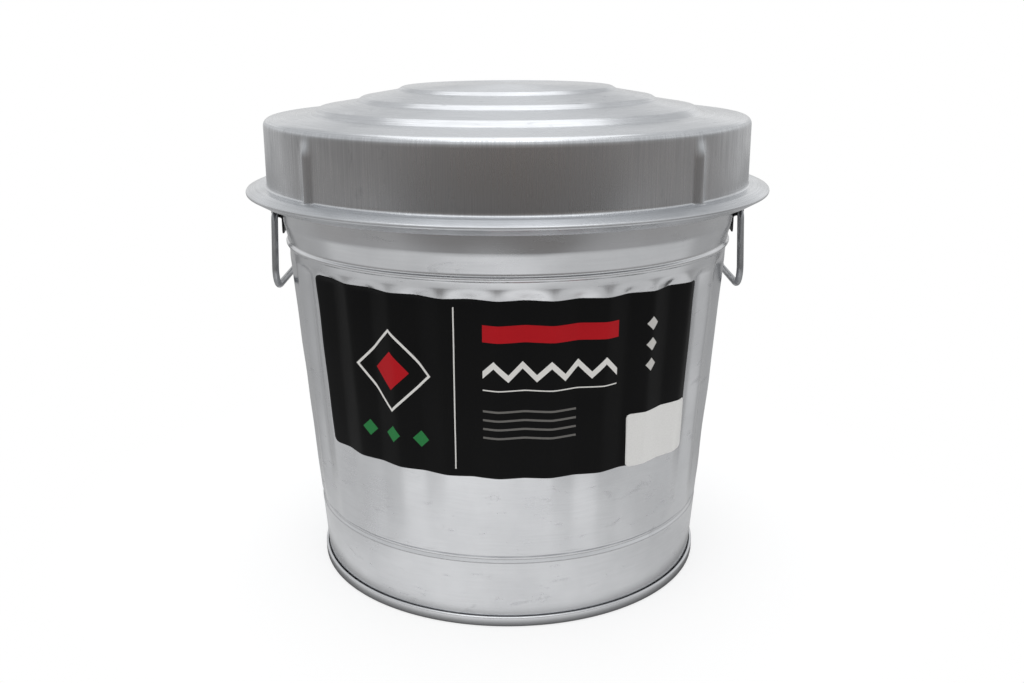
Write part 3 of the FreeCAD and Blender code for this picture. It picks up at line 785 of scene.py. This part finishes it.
wall_steel = galvanised_sheet(
    "galvanised steel, rolled", "DCDDDF", "B0B1B4", marks_along=40.0, marks_across=1.2, marks_tone=0.12,
    marks_depth=0.006, roughness=0.25, combed=0.0)
lid_steel = galvanised_sheet(
    "galvanised steel, drawn", "DADCDF", "A8AAAD", marks_along=60.0, marks_across=1.1, marks_tone=0.5,
    marks_depth=0.04, roughness=0.26, combed=0.75)
wire_steel = galvanised_wire("galvanised wire, drawn")
# The ears are coloured near black as painted shade, for the deep shade under the lid's flange
ear_painted_shade = painted_shade_black_steel("pressed steel, near black as painted shade")
label_print = printed_label("coated paper, printed")
sticker_paper = white_paper("coated paper, white")

make_wall(wall_steel)
make_back_seam(wall_steel)
make_bottom(wall_steel)
make_lid(lid_steel)
for side in ("left", "right"):
    make_ear(side, ear_painted_shade)
    make_rivets(side, wire_steel)
    make_handle(side, wire_steel)
make_paper(
    "label", label_print, left=-118.2, right=116.5, flare=7.2, foot=111.0, height=118.0, corner=4.0,
    lift=0.1, columns=180, rows=100, slot="label_paper", node="front_label")
make_paper(
    "sticker", sticker_paper, left=77.0, right=118.3, flare=0.0, foot=110.0, height=37.5, corner=3.0,
    lift=0.45, columns=40, rows=40, slot="sticker_paper", node="white_sticker")
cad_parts["rim_wire"].material_slots[0].material = wire_steel


# Studio

def stage_grid(name, size_x, size_y, place, material):
    """Flat rectangle of the studio, put in its place by a matrix."""
    bm = bmesh.new()
    bmesh.ops.create_grid(bm, x_segments=1, y_segments=1, size=0.5)
    bmesh.ops.scale(bm, vec=(size_x, size_y, 1.0), verts=bm.verts)
    bmesh.ops.transform(bm, matrix=place, verts=bm.verts)
    mesh = bpy.data.meshes.new(name)
    bm.to_mesh(mesh)
    bm.free()
    mesh.materials.append(material)
    flat = bpy.data.objects.new(name, mesh)
    scene.collection.objects.link(flat)


def make_floor():
    """White table top that keeps the can's shadow and fades to plain white round it. The steel mirrors it
    as pools of light before and behind the can, greyer at the sides and dim beyond."""
    material = bpy.data.materials.new("white table top")
    material.use_nodes = True
    tree = material.node_tree
    tree.nodes.clear()
    path = add(tree, "ShaderNodeLightPath")
    spot = add(tree, "ShaderNodeTexCoord")
    away = add(tree, "ShaderNodeVectorMath", {0: spot.outputs["Object"]}, operation="LENGTH")
    in_pool = add(tree, "ShaderNodeMapping", {
        "Vector": spot.outputs["Object"], "Location": (0.09, 0, 0), "Scale": (3.0, 1.7, 0)})
    folded = add(tree, "ShaderNodeVectorMath", {0: in_pool.outputs[0]}, operation="ABSOLUTE")
    off_pool = add(tree, "ShaderNodeVectorMath", {
        0: folded.outputs[0], 1: (0, 0.5, 0)}, operation="DISTANCE")
    place = add(tree, "ShaderNodeSeparateXYZ", {0: spot.outputs["Object"]})
    aside = add(tree, "ShaderNodeMapRange", {
        "Value": place.outputs[1], "From Min": 0.0, "From Max": 0.12, "To Min": 0.65, "To Max": 0.42},
        interpolation_type="SMOOTHSTEP")
    pool = add(tree, "ShaderNodeMapRange", {
        "Value": off_pool.outputs["Value"], "From Min": 0.3, "From Max": 0.8, "To Min": 0.93,
        "To Max": aside.outputs[0]}, interpolation_type="SMOOTHSTEP")
    room = add(tree, "ShaderNodeMapRange", {
        "Value": place.outputs[1], "From Min": -1.35, "From Max": -1.0, "To Min": 0.02, "To Max": 0.4})
    beyond = add(tree, "ShaderNodeMapRange", {
        "Value": away.outputs["Value"], "From Min": 0.7, "From Max": 1.05},
        interpolation_type="SMOOTHSTEP")
    mirrored = add(tree, "ShaderNodeMix", {
        "Factor": beyond.outputs[0], "A": pool.outputs[0], "B": room.outputs[0]})
    # Painted shadow: in the steel's reflection the table top darkens right round the can's foot
    mirrored_contact_shadow = add(tree, "ShaderNodeMapRange", {
        "Value": away.outputs["Value"], "From Min": 0.142, "From Max": 0.156, "To Min": 0.12,
        "To Max": 1.0})
    mirrored = add(tree, "ShaderNodeMath", {
        0: mirrored.outputs[0], 1: mirrored_contact_shadow.outputs[0]}, operation="MULTIPLY")
    tone = add(tree, "ShaderNodeMath", {
        0: mirrored.outputs[0], 1: path.outputs["Is Camera Ray"]}, operation="MAXIMUM")
    colour = add(tree, "ShaderNodeMix", {
        "Factor": tone.outputs[0], "A": srgb("000000"), "B": srgb("BCBCBC")}, data_type="RGBA")
    shaded = add(tree, "ShaderNodeBsdfDiffuse", {"Color": colour.outputs["Result"]})
    strength = add(tree, "ShaderNodeMath", {0: tone.outputs[0], 1: 0.57}, operation="MULTIPLY")
    glow = add(tree, "ShaderNodeEmission", {"Color": srgb("FFFFFF"), "Strength": strength.outputs[0]})
    lit = add(tree, "ShaderNodeAddShader", {0: shaded.outputs[0], 1: glow.outputs[0]})
    behind = add(tree, "ShaderNodeVectorMath", {
        0: spot.outputs["Object"], 1: (0, 0.06, 0)}, operation="DISTANCE")
    fade = add(tree, "ShaderNodeMapRange", {
        "Value": behind.outputs["Value"], "From Min": 0.13, "From Max": 0.38},
        interpolation_type="SMOOTHSTEP")
    plain = add(tree, "ShaderNodeMath", {
        0: fade.outputs[0], 1: path.outputs["Is Camera Ray"]}, operation="MULTIPLY")
    white = add(tree, "ShaderNodeEmission", {"Color": srgb("FFFFFF"), "Strength": 1.0})
    seen = add(tree, "ShaderNodeMixShader", {0: plain.outputs[0], 1: lit.outputs[0], 2: white.outputs[0]})
    bounce = add(tree, "ShaderNodeBsdfDiffuse", {"Color": srgb("E6E6E6")})
    surface = add(tree, "ShaderNodeMixShader", {
        0: path.outputs["Is Diffuse Ray"], 1: seen.outputs[0], 2: bounce.outputs[0]})
    # From below the table top is clear, so that the can's underside can be seen
    side = add(tree, "ShaderNodeNewGeometry")
    clear = add(tree, "ShaderNodeBsdfTransparent")
    one_sided = add(tree, "ShaderNodeMixShader", {
        0: side.outputs["Backfacing"], 1: surface.outputs[0], 2: clear.outputs[0]})
    add(tree, "ShaderNodeOutputMaterial", {"Surface": one_sided.outputs[0]})
    stage_grid("floor", 3.4, 4.0, Matrix.Translation((0, 0.3, -0.0004)), material)


def make_surroundings():
    """White backdrop behind the can, and a room that is dimmest before it, under a pale ceiling."""
    world = bpy.data.worlds.new("studio")
    scene.world = world
    world.use_nodes = True
    tree = world.node_tree
    tree.nodes.clear()
    direction = add(tree, "ShaderNodeTexCoord")
    parts = add(tree, "ShaderNodeSeparateXYZ", {0: direction.outputs["Generated"]})
    height = add(tree, "ShaderNodeMath", {
        0: parts.outputs[1], 1: 0.12, 2: parts.outputs[2]}, operation="MULTIPLY_ADD")
    share = add(tree, "ShaderNodeMapRange", {
        "Value": height.outputs[0], "From Min": -0.4, "From Max": 1.0})
    room = add(tree, "ShaderNodeValToRGB", {"Fac": share.outputs[0]})
    stops = [
        (0.1, "59514B"), (0.14, "7C7672"), (0.2, "918E8C"), (0.3, "9A9998"), (0.4, "B0B0B0"),
        (0.46, "C4C5C5"), (0.515, "DCDDDE"), (0.58, "DADBDC"), (0.64, "CACBCC"), (0.72, "D4D5D6"),
        (0.85, "D8D9DA"),
    ]
    while len(room.color_ramp.elements) < len(stops):
        room.color_ramp.elements.new(0.5)
    for element, (place, code) in zip(room.color_ramp.elements, stops):
        element.position = place
        element.color = srgb(code)
    path = add(tree, "ShaderNodeLightPath")
    # The steel mirrors the white backdrop where it stands, behind the can, half as bright as it is seen
    behind = add(tree, "ShaderNodeMapRange", {
        "Value": parts.outputs[1], "From Min": 0.3, "From Max": 0.6, "To Min": 0.0, "To Max": 0.5})
    backdrop = add(tree, "ShaderNodeMapRange", {
        "Value": share.outputs[0], "From Min": 0.55, "From Max": 0.62,
        "To Min": behind.outputs[0], "To Max": 0.0})
    mirrored = add(tree, "ShaderNodeMath", {
        0: path.outputs["Is Glossy Ray"], 1: backdrop.outputs[0]}, operation="MULTIPLY")
    seen = add(tree, "ShaderNodeMath", {
        0: path.outputs["Is Camera Ray"], 1: path.outputs["Is Transmission Ray"]}, operation="MAXIMUM")
    shown = add(tree, "ShaderNodeMath", {0: seen.outputs[0], 1: mirrored.outputs[0]}, operation="MAXIMUM")
    dim = add(tree, "ShaderNodeBackground", {"Color": room.outputs[0], "Strength": 1.18})
    white = add(tree, "ShaderNodeBackground", {"Color": srgb("FFFFFF"), "Strength": 1.0})
    mix = add(tree, "ShaderNodeMixShader", {0: shown.outputs[0], 1: dim.outputs[0], 2: white.outputs[0]})
    add(tree, "ShaderNodeOutputWorld", {"Surface": mix.outputs[0]})


def make_lamp():
    """One large soft box overhead."""
    light = bpy.data.lights.new("soft box", "AREA")
    light.shape = "RECTANGLE"
    light.size = 1.7
    light.size_y = 3.0
    light.energy = 15.5
    lamp = bpy.data.objects.new("soft box", light)
    lamp.location = (-0.08, -0.1, 1.9)
    scene.collection.objects.link(lamp)


def make_camera():
    """Fitted to the photograph: 0.79 m from the can's axis, looking 16 degrees down."""
    photo_width = 1024
    shift_pixels = 3.868
    degrees_down = 16.22
    lean = -0.003915
    lens = bpy.data.cameras.new("camera")
    lens.sensor_fit = "HORIZONTAL"
    lens.sensor_width = 36.0
    lens.lens = 38.645
    lens.shift_x = shift_pixels / photo_width
    camera = bpy.data.objects.new("camera", lens)
    camera.location = (0, -0.7926, 0.3873)
    aim = Euler((math.radians(90 - degrees_down), 0, 0), "XYZ").to_matrix()
    camera.rotation_euler = (aim @ Matrix.Rotation(lean, 3, "Z")).to_euler()
    scene.collection.objects.link(camera)
    scene.camera = camera


make_floor()
make_surroundings()
make_lamp()
make_camera()
